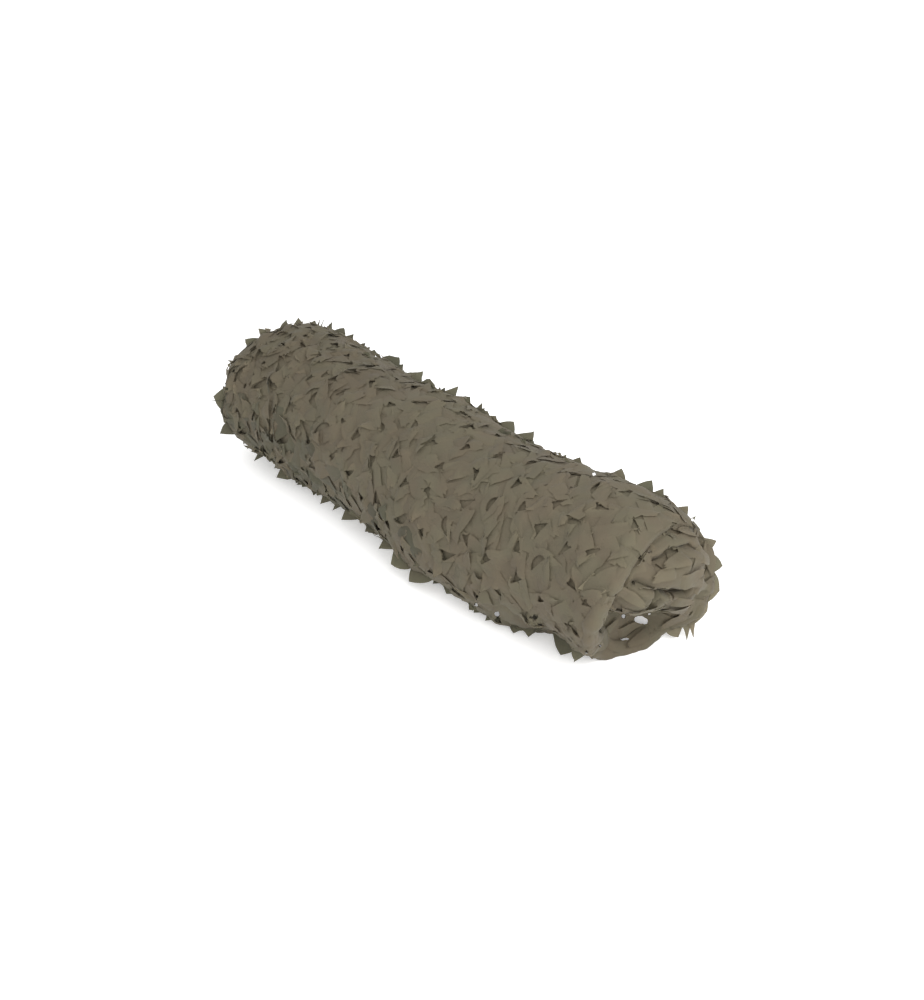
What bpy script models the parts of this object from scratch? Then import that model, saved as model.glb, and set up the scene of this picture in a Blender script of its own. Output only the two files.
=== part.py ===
"""A leaf-cut shade net, wound into a loose roll that lies on the floor.

The net is a cloth with leaf-shaped cuts that is drawn open, so each leaf lifts from it. Wound up,
its turns make one soft roll with leaf tips all round. At the near end, +X, the inner turns stand
out as a rounded mass, and below them the outermost turn is open like a mouth.

Metres, +Z up, the roll along X. The origin is on the floor, under the middle of the roll's box.
"""

import math

import bmesh
import bpy
import numpy as np

# Driving sizes
NET_WIDTH = 1.50  # the net's own width, so the length of the roll with its leaf tips
ROLL_WIDTH = 0.368  # across the wound cloth, without leaf tips
ROLL_HEIGHT = 0.356  # the same, before the roll settles on the floor
SETTLE = 0.013  # how far its own weight flattens it where it lies
LEAF_TIP_LOW, LEAF_TIP_HIGH = 0.010, 0.034  # how far leaf tips stand off the cloth

# Spacing of the points on the roll, half a leaf
STEP_ALONG = 0.0190
STEP_AROUND = 0.0215

# Far end: a blunt dome with a sunken middle
FAR_END_X = -NET_WIDTH / 2 + 0.022
FAR_SHOULDER = 0.120
FAR_POWER = 2.7  # 2 is an ellipse, more is squarer
FAR_DISH = 0.030
TURN_PITCH = 0.047  # the wound turns that show there, as a spiral step
TURN_STEP = 0.016

# Near end: where the outermost turn's rim lies along X, by direction round the roll from +Y
RIM_ROUNDING = 0.030
RIM = (
    {"turn": 0, "x": 0.684},
    {"turn": 40, "x": 0.664},
    {"turn": 80, "x": 0.668},
    {"turn": 112, "x": 0.678},
    {"turn": 140, "x": 0.680},
    {"turn": 168, "x": 0.666},
    {"turn": 196, "x": 0.646},
    {"turn": 225, "x": 0.608},
    {"turn": 250, "x": 0.596},
    {"turn": 275, "x": 0.604},
    {"turn": 300, "x": 0.648},
    {"turn": 325, "x": 0.692},
    {"turn": 360, "x": 0.684},
)
# The mass of inner turns that stands out of it
MASS_TIP_X = NET_WIDTH / 2 - 0.018
MASS_ROOT_X = 0.600
MASS_Y, MASS_Z = 0.020, 0.230
MASS_HALF_WIDTH, MASS_HALF_HEIGHT = 0.150, 0.104
# The mouth under the mass: how far back it goes, and the wall of cloth round it
MOUTH_BACK_X = 0.500
MOUTH_TOP_Z = 0.160
MOUTH_WALL = 0.026
# Folds between the inner turns: two ends on the end face, how wide and how deep
CREASES = (
    {"from": (-0.064, 0.330), "to": (0.046, 0.303), "width": 0.015, "depth": 0.034},
    {"from": (-0.105, 0.285), "to": (-0.030, 0.224), "width": 0.015, "depth": 0.036},
    {"from": (-0.030, 0.224), "to": (0.085, 0.180), "width": 0.017, "depth": 0.044},
    {"from": (-0.012, 0.205), "to": (-0.022, 0.150), "width": 0.014, "depth": 0.036},
)

# Soft bulges: place along X, direction round the roll from +Y, reach of both, height
BULGES = (
    {"x": 0.15, "turn": 208, "reach_x": 0.19, "reach_turn": 50, "height": 0.030},
    {"x": 0.55, "turn": 222, "reach_x": 0.12, "reach_turn": 32, "height": -0.022},
    {"x": 0.52, "turn": 75, "reach_x": 0.15, "reach_turn": 55, "height": 0.018},
    {"x": 0.20, "turn": 60, "reach_x": 0.16, "reach_turn": 45, "height": -0.012},
    {"x": -0.28, "turn": 215, "reach_x": 0.17, "reach_turn": 45, "height": -0.010},
    {"x": -0.62, "turn": 75, "reach_x": 0.12, "reach_turn": 60, "height": 0.012},
    {"x": -0.70, "turn": 200, "reach_x": 0.10, "reach_turn": 50, "height": 0.006},
    {"x": -0.45, "turn": 330, "reach_x": 0.20, "reach_turn": 50, "height": 0.010},
    {"x": 0.40, "turn": 345, "reach_x": 0.18, "reach_turn": 50, "height": 0.008},
)

SEED = 11
KHAKI = (0.158, 0.139, 0.102, 1.0)


def clear_scene():
    for obj in list(bpy.data.objects):
        bpy.data.objects.remove(obj)


def cloth_material(name):
    """Woven polyester, matt, in one khaki colour."""
    material = bpy.data.materials.new(name)
    material.use_nodes = True
    shader = material.node_tree.nodes["Principled BSDF"]
    shader.inputs["Base Color"].default_value = KHAKI
    shader.inputs["Roughness"].default_value = 0.85
    shader.inputs["Metallic"].default_value = 0.0
    return material


def smooth_step(value):
    t = np.clip(value, 0.0, 1.0)
    return t * t * (3 - 2 * t)


def bulge_at(x, turn):
    """How far the soft bulges push the cloth out, for places along X and turns in radians."""
    height = np.zeros_like(x)
    for bulge in BULGES:
        apart = np.degrees(turn) - bulge["turn"]
        apart = (apart + 180) % 360 - 180
        near = (x - bulge["x"]) / bulge["reach_x"]
        height += bulge["height"] * np.exp(-(near**2) - (apart / bulge["reach_turn"]) ** 2)
    return height


def rim_at(turn):
    """Where the outermost turn's rim lies along X."""
    directions = [row["turn"] for row in RIM]
    places = [row["x"] for row in RIM]
    return np.interp(np.degrees(turn) % 360, directions, places)


def section_point(x, share, turn):
    """Y and Z of the wound cloth, for a share of the radius and a turn round the roll."""
    out = bulge_at(x, turn) * share
    y = np.cos(turn) * (share * ROLL_WIDTH / 2 + out)
    y = y * (1 - 0.03 * np.sin(turn))
    z = ROLL_HEIGHT / 2 - SETTLE + np.sin(turn) * (share * ROLL_HEIGHT / 2 + out)
    return y, z


def crease_depth(y, z):
    """How deep the folds between the inner turns are at places on the near end's face."""
    depth = np.zeros_like(y)
    for crease in CREASES:
        start, end = np.array(crease["from"]), np.array(crease["to"])
        line = end - start
        at = ((y - start[0]) * line[0] + (z - start[1]) * line[1]) / (line @ line)
        at = np.clip(at, 0, 1)
        away = np.hypot(y - start[0] - at * line[0], z - start[1] - at * line[1])
        depth = np.maximum(depth, crease["depth"] * np.exp(-((away / crease["width"]) ** 2)))
    return depth


def near_face(y, z, share, turn):
    """The near end's face, as X for places on it: the rim, the mouth, and the inner turns."""
    rim = rim_at(turn)
    off = np.hypot((y - MASS_Y) / MASS_HALF_WIDTH, (z - MASS_Z) / MASS_HALF_HEIGHT)
    dome = np.sqrt(np.clip(1 - off**2, 0, 1))
    mass = MASS_ROOT_X + (MASS_TIP_X - MASS_ROOT_X) * dome - crease_depth(y, z)
    under = smooth_step((MOUTH_TOP_Z + 0.02 - z) / 0.04) * smooth_step((off - 0.86) / 0.2)
    inner = np.maximum(mass, rim - 0.035) * (1 - under) + MOUTH_BACK_X * under
    wall = smooth_step((share - (1 - 1.6 * MOUTH_WALL / (ROLL_WIDTH / 2))) / 0.10)
    return inner * (1 - wall) + rim * wall


def far_face(share, turn):
    """The far end's dome, as X for a share of the radius and a turn."""
    along = (1 - share**FAR_POWER) ** (1 / FAR_POWER)
    dome = FAR_END_X + FAR_SHOULDER - FAR_SHOULDER * along
    phase = (share * ROLL_WIDTH / 2 / TURN_PITCH + turn / (2 * math.pi)) % 1.0
    rise = smooth_step(phase / 0.72) - smooth_step((phase - 0.72) / 0.28)
    inside = np.clip(1 - (share / 0.66) ** 2, 0, 1) ** 1.5
    on_face = smooth_step((0.95 - share) / 0.2)
    return dome + FAR_DISH * inside - on_face * TURN_STEP * (rise - 0.5)


def roll_rings():
    """The rings of points, from the near end's middle to the far one's: part, share, place."""
    rings = []
    for share in np.linspace(0, 0.965, 14):
        rings.append(("near", share, 0.0))
    far_start = FAR_END_X + FAR_SHOULDER
    length = float(rim_at(np.zeros(1))[0]) - RIM_ROUNDING - far_start
    for along in np.linspace(1, 0, round(length / STEP_ALONG) + 1):
        rings.append(("body", 1.0, along))
    quarter = np.linspace(0, math.pi / 2, 12)[1:]
    for share in np.cos(quarter) ** (2 / FAR_POWER):
        rings.append(("far", 0.0 if share < 1e-3 else float(share), 0.0))
    return rings


def ring_points(part, share, along, turn):
    """One ring's points on the wound cloth, before its leaves are lifted."""
    full = np.full_like(turn, share)
    rim = rim_at(turn)
    if part == "near":
        y, z = section_point(rim, full, turn)
        return np.stack([near_face(y, z, full, turn), y, z], axis=-1)
    if part == "body":
        x = FAR_END_X + FAR_SHOULDER
        x = x + along * (rim - RIM_ROUNDING - x)
    else:
        x = far_face(full, turn)
    y, z = section_point(x, full, turn)
    return np.stack([x, y, z], axis=-1)


def ring_triangles(first, first_turns, second, second_turns):
    """Triangles between two rings of points that go round the same way."""
    triangles = []
    i = j = 0
    count_i, count_j = len(first), len(second)
    while i < count_i or j < count_j:
        next_i = first_turns[(i + 1) % count_i] + (2 * math.pi if i + 1 >= count_i else 0)
        next_j = second_turns[(j + 1) % count_j] + (2 * math.pi if j + 1 >= count_j else 0)
        a, b = first[i % count_i], second[j % count_j]
        if j >= count_j or (i < count_i and next_i <= next_j):
            triangles.append((a, first[(i + 1) % count_i], b))
            i += 1
        else:
            triangles.append((a, second[(j + 1) % count_j], b))
            j += 1
    return triangles


def roll_lattice():
    """Points, triangles and parts of the bare roll, with one point in the middle of each end."""
    points, triangles, rings, parts = [], [], [], []
    for number, (part, share, along) in enumerate(roll_rings()):
        around = 2 * math.pi * share * ROLL_WIDTH / 2
        count = 1 if share < 1e-3 else max(6, round(around / STEP_AROUND))
        turns = (np.arange(count) + 0.5 * (number % 2)) * 2 * math.pi / count
        start = len(points)
        points.extend(ring_points(part, share, along, turns))
        parts.extend([part] * count)
        rings.append((list(range(start, start + count)), turns))
    for (first, first_turns), (second, second_turns) in zip(rings, rings[1:]):
        if len(first) == 1:
            loop = second + second[:1]
            triangles.extend((first[0], b, a) for a, b in zip(loop, loop[1:]))
        elif len(second) == 1:
            loop = first + first[:1]
            triangles.extend((second[0], a, b) for a, b in zip(loop, loop[1:]))
        else:
            triangles.extend(ring_triangles(first, first_turns, second, second_turns))
    return np.array(points), np.array(triangles), np.array(parts)


def point_normals(points, triangles):
    a, b, c = (points[triangles[:, k]] for k in range(3))
    faces = np.cross(b - a, c - a)
    normals = np.zeros_like(points)
    for k in range(3):
        np.add.at(normals, triangles[:, k], faces)
    return normals / np.linalg.norm(normals, axis=1, keepdims=True)


def neighbours_of(count, triangles):
    near = [set() for _ in range(count)]
    for a, b, c in triangles.tolist():
        near[a].update((b, c))
        near[b].update((a, c))
        near[c].update((a, b))
    return [sorted(found) for found in near]


def bare_places(points, parts):
    """Where no leaf may stand up: the underside that rests on the floor, and inside the mouth."""
    underside = points[:, 2] < SETTLE * 1.3
    in_mouth = (parts == "near") & (points[:, 2] < MOUTH_TOP_Z + 0.03) & (points[:, 0] < 0.60)
    return underside | in_mouth


def raise_leaves(points, triangles, parts):
    """Lifts leaf tips off the cloth: a tip, a lower ridge behind it, and a lean away from that ridge."""
    rng = np.random.default_rng(SEED)
    normals = point_normals(points, triangles)
    near = neighbours_of(len(points), triangles)
    lifted = points + normals * rng.uniform(-0.003, 0.003, (len(points), 1))
    taken = bare_places(points, parts)
    for tip in rng.permutation(len(points)).tolist():
        height = rng.uniform(LEAF_TIP_LOW, LEAF_TIP_HIGH)
        ridge = near[tip][rng.integers(len(near[tip]))]
        if parts[tip] == "near":
            height *= 0.6
        if taken[tip]:
            continue
        taken[[tip, *near[tip]]] = True
        lean = points[tip] - points[ridge]
        lifted[tip] = points[tip] + normals[tip] * height + lean * 0.32
        lifted[ridge] = lifted[ridge] + normals[ridge] * height * 0.30
    lifted[:, 2] = np.maximum(lifted[:, 2], 0.0)
    return lifted


def centred(points):
    """The points with the middle of their box over the origin, and standing on the floor."""
    low, high = points.min(axis=0), points.max(axis=0)
    middle = (low + high) / 2
    return points - np.array([middle[0], middle[1], low[2]])


def mesh_object(name, points, faces, material):
    mesh = bpy.data.meshes.new(name)
    mesh.from_pydata(points.tolist(), [], faces.tolist())
    mesh.update()
    obj = bpy.data.objects.new(name, mesh)
    bpy.context.scene.collection.objects.link(obj)
    obj.data.materials.append(material)
    return obj


def face_outwards(obj):
    """Turns the faces of a closed mesh outwards."""
    work = bmesh.new()
    work.from_mesh(obj.data)
    bmesh.ops.recalc_face_normals(work, faces=work.faces)
    work.to_mesh(obj.data)
    work.free()


def make_roll(material):
    points, triangles, parts = roll_lattice()
    a, b, c = (points[triangles[:, k]] for k in range(3))
    if (a * np.cross(b, c)).sum() < 0:
        triangles = triangles[:, ::-1]
    points = centred(raise_leaves(points, triangles, parts))
    roll = mesh_object("net_roll", points, triangles, material)
    face_outwards(roll)


def main():
    clear_scene()
    make_roll(cloth_material("leaf_cloth"))


main()
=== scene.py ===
"""Looks of the leaf-cut shade net, wound into a loose roll on a white floor.

The roll's wound cloth is one smooth surface, worked out as the solid's is. Two turns of net follow
it, cut open by small three-cornered gaps, and cut leaves rise out of the upper turn and lie over
it. Metres, +Z up, the roll along X and its open end at +X. A turn is a place round the roll in
degrees: 90 on top, 180 towards the camera, 270 on the floor. A share of the roll is 0 in its
middle and 1 on its surface. Where two values stand for a soft step, it starts at the first and is
full at the second.
"""

import math

import bpy
import numpy as np
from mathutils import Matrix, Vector
from mathutils.bvhtree import BVHTree
from mathutils.kdtree import KDTree


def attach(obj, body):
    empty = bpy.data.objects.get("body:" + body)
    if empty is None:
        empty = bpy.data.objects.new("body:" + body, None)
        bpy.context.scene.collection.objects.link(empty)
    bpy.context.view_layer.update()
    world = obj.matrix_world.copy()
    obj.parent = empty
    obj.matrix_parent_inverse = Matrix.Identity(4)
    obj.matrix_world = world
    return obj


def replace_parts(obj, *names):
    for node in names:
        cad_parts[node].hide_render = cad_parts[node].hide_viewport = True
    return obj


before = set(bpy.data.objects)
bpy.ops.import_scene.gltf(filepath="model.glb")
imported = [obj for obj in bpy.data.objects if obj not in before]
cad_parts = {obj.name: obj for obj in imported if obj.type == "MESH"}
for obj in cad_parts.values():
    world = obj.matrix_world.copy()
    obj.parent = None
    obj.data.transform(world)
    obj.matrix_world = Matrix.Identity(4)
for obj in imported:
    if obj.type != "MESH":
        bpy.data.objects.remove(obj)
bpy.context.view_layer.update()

SEED = 23


def table(columns, *rows):
    """Rows of values under the names of their columns."""
    return [dict(zip(columns.split(), row)) for row in rows]


# The wound cloth, with the solid's own sizes
NET_WIDTH = 1.50
ROLL_WIDTH, ROLL_HEIGHT = 0.368, 0.356
SETTLE = 0.013  # how far it sinks flat on the floor
TOP_NARROWER = 0.03
OFF_MIDDLE = (0.0064, 0.0063)  # the cloth's middle, from the middle of the box with its leaf tips
MIDDLE_SHARE, FACE_SHARE = 0.004, 0.965  # the rings of the open end's face lie between these
STEPS = {"around": 232, "near_rings": 110, "body_rings": 210, "far_rings": 48}

FAR_END_X = -NET_WIDTH / 2 + 0.022
FAR_SHOULDER, FAR_POWER = 0.120, 2.7
FAR_DISH, FAR_DISH_SHARE = 0.030, 0.66
FAR_TURNS = (0.95, 0.75)
TURN_PITCH, TURN_STEP, TURN_CREST = 0.047, 0.016, 0.72

# The open end, whose rim, mouth and folds are closer to the photo's than the solid's are
RIM_ROUNDING = 0.030
RIM = {
    "turn": (0, 40, 80, 112, 140, 168, 196, 225, 250, 275, 300, 325, 360),
    "x": (
        0.684, 0.664, 0.668, 0.678, 0.680, 0.666, 0.646,
        0.603, 0.590, 0.620, 0.622, 0.680, 0.684,
    ),
}
LIP_TURN, LIP_REACH, LIP_FULLER = 226, 24, 0.9  # where the outer turn is thicker at the mouth
MASS_TIP_X, MASS_ROOT_X = NET_WIDTH / 2 - 0.018, 0.600  # the inner turns bulge out between these
MASS_Y, MASS_Z = 0.020, 0.236
MASS_HALF_WIDTH, MASS_HALF_HEIGHT = 0.150, 0.102
MASS_EDGE = (0.86, 1.06)  # how far out the mouth starts, in shares of them
MASS_SIDE_DROP, MASS_SIDE_Y = 0.055, (0.010, 0.080)  # they reach lower away from the camera
MASS_BLEND = 0.030  # how softly they run into the outer turn there
MOUTH_BACK_X, MOUTH_TOP_Z = 0.586, (0.170, 0.130)
MOUTH_SIDE_Y = (0.024, 0.094)  # where it is filled again, away from the camera
MOUTH_WALL, MOUTH_WALL_SOFT = 0.0416, 0.17
SHELF_BACK, SHELF_FORWARD = 0.035, 0.027  # the filling, back from the rim, and forward at its side
CREASES = table(
    "from to width depth",
    ((-0.040, 0.286), (0.018, 0.292), 0.012, 0.030),
    ((0.018, 0.292), (0.070, 0.284), 0.011, 0.024),
    ((0.070, 0.284), (0.150, 0.232), 0.012, 0.014),
    ((-0.081, 0.256), (-0.046, 0.232), 0.010, 0.036),
    ((-0.046, 0.232), (-0.004, 0.212), 0.011, 0.044),
    ((-0.004, 0.212), (0.056, 0.188), 0.012, 0.030),
    ((-0.044, 0.230), (-0.046, 0.170), 0.011, 0.036),
)

# The plain form inside, which has no outer turn round its mouth
CORE_STEPS = {"around": 160, "near_rings": 50, "body_rings": 120, "far_rings": 24}
CORE_DEPTH, CORE_FLOOR_Z = 0.014, 0.012
CORE_MOUTH_TOP_Z, CORE_RIM_TOP_Z = (0.190, 0.140), (0.170, 0.120)
CORE_RIM_BACK = 0.010
CORE_WIDER = 0.006  # how much wider its openings for the floor are

# Soft bulges of the wound cloth
BULGES = table(
    "x turn reach_x reach_turn height",
    (0.15, 208, 0.19, 50, 0.030),
    (0.55, 222, 0.12, 32, -0.022),
    (0.52, 75, 0.15, 55, 0.018),
    (0.20, 60, 0.16, 45, -0.012),
    (-0.28, 215, 0.17, 45, -0.010),
    (-0.62, 75, 0.12, 60, 0.012),
    (-0.70, 200, 0.10, 50, 0.006),
    (-0.45, 330, 0.20, 50, 0.010),
    (0.40, 345, 0.18, 50, 0.008),
)

# How far the leaves' roots stand off the smooth wound cloth: with bulges of their own, and by side
FULLER = table(
    "x turn reach_x reach_turn height",
    (-0.50, 49, 0.15, 45, 0.012),
    (-0.32, 49, 0.07, 40, 0.006),
    (-0.05, 49, 0.16, 45, 0.010),
    (0.28, 49, 0.12, 40, 0.004),
    (0.45, 55, 0.08, 25, -0.005),
    (0.70, 49, 0.08, 50, -0.010),
    (-0.66, 85, 0.05, 25, -0.006),
    (-0.69, 140, 0.06, 25, 0.010),
    (-0.68, 178, 0.05, 20, 0.008),
    (-0.60, 225, 0.10, 40, -0.014),
    (0.00, 215, 0.06, 30, -0.006),
    (0.20, 220, 0.07, 30, -0.006),
    (0.36, 229, 0.11, 40, 0.016),
    (0.49, 229, 0.05, 30, -0.012),
)
STAND_OFF = {"all": 0.005, "top": 0.010, "far": 0.016, "back": 0.010}
STAND_OFF_BACK_X = (0.3, 0.6)
UPPER_DEPTH, LOWER_DEPTH = 0.002, 0.0045  # how far the two outer turns lie under their leaves
# The lower turn and the core are a little darker than the upper turn: painted shade for the cloth
# seen in the gaps
UPPER_TINT, LOWER_SHADE_TINT = 0.5, 0.45
LOWER_FLOOR_Z = 0.003
LOWER_RISE = 0.5  # how much less it stands up round its gaps
LOWER_WIDER = 0.002  # how much wider its openings for the floor are
RESTING_Z, RESTING_HALF_WIDTH = 0.004, 0.09  # where the roll rests, without gaps and leaves

# The gaps of each turn: how far apart, and how long and wide each is
GAPS = {
    "net_upper": {"apart": 0.064, "length": (0.044, 0.074), "width": (0.028, 0.048)},
    "net_lower": {"apart": 0.110, "length": (0.030, 0.050), "width": (0.012, 0.022)},
    "far_end": {"apart": 0.060, "length": (0.030, 0.055), "width": (0.022, 0.036)},
}
FAR_GAPS_X = -0.30  # the gaps of the far end are where X is below this
END_GAPS_LEFT_OUT = 0.96  # the share of the upper turn's gaps left out on the open end
GAP_SLANT = (20, 85)  # degrees from the roll's length
GAP_REACH = 0.055
CRESCENTS = 0.3  # the share of gaps that are crescents
GAP_HOLLOW, CRESCENT_BOW, CRESCENT_HALF = 0.28, 0.45, 0.42  # in shares of a gap's size
GAP_RISE = (0.002, 0.008)  # how far the cloth stands up on one side of a gap
GAP_RISE_REACH = 0.020
GAP_RAISED, GAP_LOWERED = 0.42, 0.9  # where it stands up and lies down, in gap lengths and widths
EDGE_SHARE = (0.08, 0.92)  # a cut edge's points lie between these shares of a triangle's side

# Places where the floor shows through every turn: a point that the line of sight passes, and how
# wide the opening round that line is
SEEN_THROUGH = table(
    "at wide",
    ((0.590, 0.066, 0.047), 0.015),
    ((0.595, 0.072, 0.046), 0.018),
    ((0.601, 0.078, 0.044), 0.013),
    ((0.588, 0.019, 0.077), 0.010),
    ((0.607, 0.086, 0.062), 0.008),
    ((0.654, -0.066, 0.090), 0.005),
    ((0.658, -0.063, 0.092), 0.005),
    ((0.661, -0.061, 0.094), 0.005),
    ((0.665, -0.059, 0.096), 0.005),
    ((0.669, -0.058, 0.097), 0.005),
    ((0.600, -0.110, 0.049), 0.008),
    ((0.619, -0.090, 0.067), 0.006),
    ((0.345, -0.136, 0.026), 0.012),
    ((0.282, -0.143, 0.021), 0.010),
    ((0.268, 0.120, 0.315), 0.008),
    ((0.386, 0.120, 0.315), 0.010),
    ((-0.411, 0.128, 0.328), 0.007),
    ((0.668, 0.124, 0.321), 0.008),
    ((-0.887, -0.044, 0.111), 0.009),
    ((-0.749, -0.096, 0.061), 0.009),
)

# Gaps of the upper turn on the open end, each from its wide side to its point
END_GAPS = table(
    "from to wide",
    ((0.700, -0.034, 0.302), (0.726, -0.018, 0.284), 0.009),
    ((0.716, -0.040, 0.222), (0.690, -0.040, 0.168), 0.018),
    ((0.690, 0.036, 0.134), (0.728, -0.014, 0.190), 0.018),
    ((0.692, 0.166, 0.196), (0.694, 0.162, 0.174), 0.016),
    ((0.688, 0.132, 0.094), (0.690, 0.126, 0.074), 0.012),
    ((0.660, -0.092, 0.176), (0.686, -0.106, 0.212), 0.020),
)

# The leaves that lie on the open end, each from its root to its tip: how wide at its root and
# how far its tip rises
END_LEAVES = table(
    "from to wide rise",
    ((0.590, -0.010, 0.041), (0.607, 0.057, 0.052), 0.036, 0.004),
    ((0.689, 0.124, 0.110), (0.705, 0.034, 0.147), 0.040, 0.006),
    ((0.723, 0.060, 0.285), (0.711, -0.019, 0.278), 0.040, 0.005),
    ((0.747, 0.010, 0.240), (0.734, 0.095, 0.238), 0.044, 0.005),
    ((0.681, 0.120, 0.087), (0.646, 0.080, 0.042), 0.038, 0.005),
    ((0.694, -0.120, 0.259), (0.714, -0.070, 0.215), 0.040, 0.005),
    ((0.734, 0.086, 0.200), (0.699, 0.170, 0.140), 0.042, 0.005),
    ((0.588, -0.070, 0.060), (0.590, -0.018, 0.092), 0.032, 0.004),
    ((0.734, 0.008, 0.274), (0.710, -0.048, 0.270), 0.028, 0.003),
    ((0.721, 0.098, 0.274), (0.704, 0.148, 0.220), 0.044, 0.004),
    ((0.741, 0.050, 0.226), (0.730, 0.104, 0.196), 0.038, 0.003),
    ((0.722, 0.024, 0.176), (0.718, 0.086, 0.154), 0.034, 0.004),
    ((0.712, -0.026, 0.172), (0.684, -0.082, 0.184), 0.032, 0.003),
    ((0.677, 0.125, 0.302), (0.681, 0.064, 0.326), 0.042, 0.004),
    ((0.685, -0.018, 0.322), (0.680, -0.078, 0.308), 0.040, 0.004),
    ((0.681, 0.176, 0.246), (0.696, 0.178, 0.176), 0.044, 0.004),
    ((0.677, -0.146, 0.222), (0.640, -0.142, 0.150), 0.036, 0.003),
    ((0.639, -0.130, 0.092), (0.609, -0.072, 0.050), 0.040, 0.003),
    ((0.629, 0.072, 0.030), (0.617, 0.000, 0.018), 0.034, 0.002),
)
END_GAP_LONGER, END_GAP_WIDER = 1.1, 1.6  # how much larger the gaps' own shape is drawn
END_GAP_RISE = 0.001
END_LEAF_STEPS = (13, 9)
END_LEAF_NARROWER = 0.75
END_LEAF_TAPER = (1.4, 2.4)
END_LEAF_HEIGHT, END_LEAF_ROOT = 0.003, 0.2  # how high it lies past this share of its length
END_LEAF_TINT = (0.2, 0.9)

# Leaves that stand out of the roll's outline: where each is, how high, how wide at its root, how far
# its tip lies to one side, and how full its sides are: 1 is straight, over 1 bulges. Those before
# ROUND_BEFORE_X or past ROUND_PAST_X run round the roll, the others along it.
ROUND_BEFORE_X, ROUND_PAST_X = -0.62, 0.63
FINS = table(
    "x turn high wide lean full",
    (-0.675, 196, 0.034, 0.056, 0.006, 1.8),
    (-0.690, 172, 0.030, 0.085, -0.006, 1.7),
    (-0.690, 173, 0.040, 0.010, 0.000, 0.8),
    (-0.697, 152, 0.012, 0.055, 0.004, 1.8),
    (-0.697, 138, 0.036, 0.044, 0.004, 1.1),
    (-0.697, 130, 0.014, 0.040, 0.004, 1.4),
    (-0.690, 114, 0.020, 0.056, 0.012, 1.7),
    (-0.680, 100, 0.022, 0.036, 0.013, 1.7),
    (-0.660, 91, 0.018, 0.066, -0.022, 1.0),
    (-0.656, 75, 0.019, 0.046, 0.002, 1.1),
    (-0.645, 64, 0.014, 0.034, 0.000, 2.2),
    (-0.640, 61, 0.024, 0.012, -0.004, 0.9),
    (-0.640, 57, 0.026, 0.012, -0.004, 0.9),
    (-0.636, 51, 0.020, 0.020, -0.004, 0.9),
    (-0.590, 52, 0.023, 0.058, 0.006, 2.2),
    (-0.548, 51, 0.021, 0.054, 0.014, 1.9),
    (-0.500, 51, 0.015, 0.044, 0.014, 1.3),
    (-0.430, 51, 0.015, 0.060, -0.006, 1.8),
    (-0.372, 52, 0.026, 0.074, 0.016, 2.0),
    (-0.334, 52, 0.018, 0.050, 0.014, 1.3),
    (-0.260, 53, 0.029, 0.078, 0.023, 1.2),
    (-0.205, 53, 0.012, 0.052, 0.004, 1.4),
    (-0.131, 53, 0.030, 0.066, 0.022, 1.1),
    (-0.068, 53, 0.017, 0.050, 0.006, 1.2),
    (-0.026, 52, 0.020, 0.046, 0.008, 1.0),
    (0.026, 50, 0.011, 0.050, 0.006, 1.4),
    (0.078, 50, 0.024, 0.066, 0.010, 2.0),
    (0.142, 50, 0.029, 0.080, 0.016, 1.3),
    (0.232, 47, 0.012, 0.046, 0.006, 1.5),
    (0.335, 57, 0.014, 0.044, 0.004, 1.4),
    (0.448, 58, 0.022, 0.052, 0.006, 1.7),
    (0.524, 56, 0.023, 0.060, 0.008, 1.6),
    (0.560, 55, 0.020, 0.046, 0.008, 1.2),
    (0.618, 50, 0.018, 0.046, 0.008, 1.2),
    (0.640, 43, 0.014, 0.034, 0.002, 1.2),
    (0.660, 22, 0.020, 0.056, -0.004, 1.3),
    (0.668, 6, 0.024, 0.064, -0.008, 2.0),
    (0.670, 346, 0.026, 0.090, -0.004, 2.3),
    (0.655, 318, 0.046, 0.040, 0.004, 1.1),
    (0.660, 322, 0.050, 0.038, 0.004, 1.1),
    (0.650, 308, 0.020, 0.060, 0.010, 2.0),
    (0.668, 331, 0.018, 0.100, 0.000, 2.4),
    (-0.600, 223, 0.024, 0.040, -0.012, 0.9),
    (-0.480, 223, 0.028, 0.070, -0.026, 1.3),
    (-0.400, 225, 0.012, 0.050, -0.010, 1.4),
    (-0.305, 223, 0.024, 0.050, -0.012, 1.3),
    (-0.250, 221, 0.024, 0.040, -0.006, 1.0),
    (-0.185, 219, 0.030, 0.070, -0.024, 1.4),
    (-0.100, 217, 0.016, 0.050, -0.010, 1.2),
    (-0.006, 214, 0.028, 0.076, -0.022, 1.1),
    (0.050, 214, 0.033, 0.090, -0.014, 2.1),
    (0.116, 216, 0.034, 0.080, -0.014, 2.2),
    (0.205, 222, 0.012, 0.050, -0.008, 1.4),
    (0.292, 225, 0.012, 0.050, -0.010, 1.3),
    (0.388, 228, 0.016, 0.060, 0.010, 1.4),
    (0.422, 230, 0.019, 0.056, 0.010, 1.4),
    (0.523, 230, 0.034, 0.084, 0.010, 2.3),
    (0.578, 225, 0.024, 0.044, -0.002, 1.2),
)
HANGING_TURNS, HANGING = (300, 330), (0.30, -0.26, -0.92)  # those that hang down, and which way
FIN_STEPS = (9, 7)
FIN_SINK = 0.010  # how far a standing leaf starts under the cloth's surface
FIN_UNEVEN = (0.8, 1.25)  # how much fuller each of its sides is than its row says
FIN_BEND, FIN_CUP = 0.004, 0.003
FIN_SLOPE = {"x": (-0.70, -0.62, 0.63, 0.67), "slope": (-0.9, 0.0, 0.0, 0.8)}
# Standing leaves take only dark tints, up to the first of these before FIN_NEAR_X and up to the
# second past it: painted shade on the leaves that stand out of the outline
FIN_SHADE_TINT, FIN_SHADE_TINT_NEAR, FIN_NEAR_X = 0.05, 0.3, 0.6

# The small leaves that stand up between them, on the two edges of the roll in the photo
SMALL_FINS = {
    "x": (-0.60, 0.48),
    "high": (0.008, 0.014),
    "wide": (0.032, 0.056),
    "lean": (-0.018, 0.018),
    "full": (1.0, 1.9),
}
SMALL_FIN_COUNT = 64
SMALL_FIN_TURNS = ((20, 72), (200, 236))

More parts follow.
